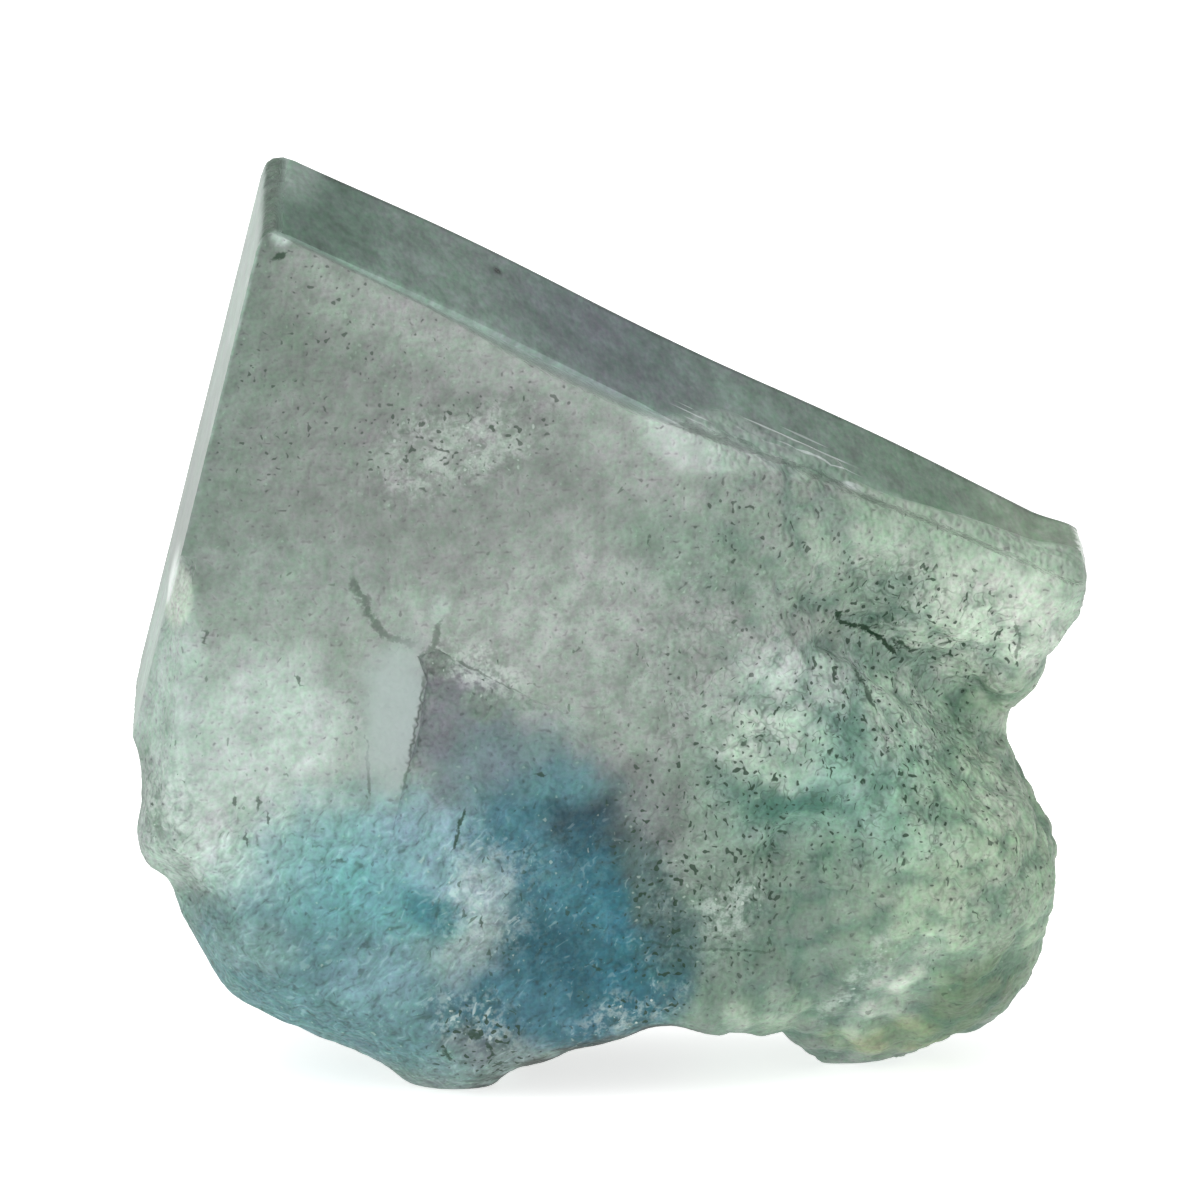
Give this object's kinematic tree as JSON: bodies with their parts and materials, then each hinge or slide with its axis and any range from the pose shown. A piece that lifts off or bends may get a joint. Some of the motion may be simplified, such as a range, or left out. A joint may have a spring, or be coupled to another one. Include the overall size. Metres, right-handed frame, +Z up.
{
  "type": "barite crystal",
  "caption": "Thick tabular crystal of blue barite with flat faces meeting in a point and a broken, lumpy lower rim that it stands on.",
  "frame": {"origin": "middle of the bounding box on the surface that the crystal stands on", "axes": "+X to the right along the crystal's longest extent, +Y away from the viewer through its thickness, +Z up"},
  "size_m": [0.0502, 0.0164, 0.0474],
  "materials": {
    "barite": "natural crystal: glossy flat faces, satin to rough where broken, milky blue to grey-green"
  },
  "bodies": {
    "root": {"barite_crystal": "barite"}
  },
  "joints": []
}
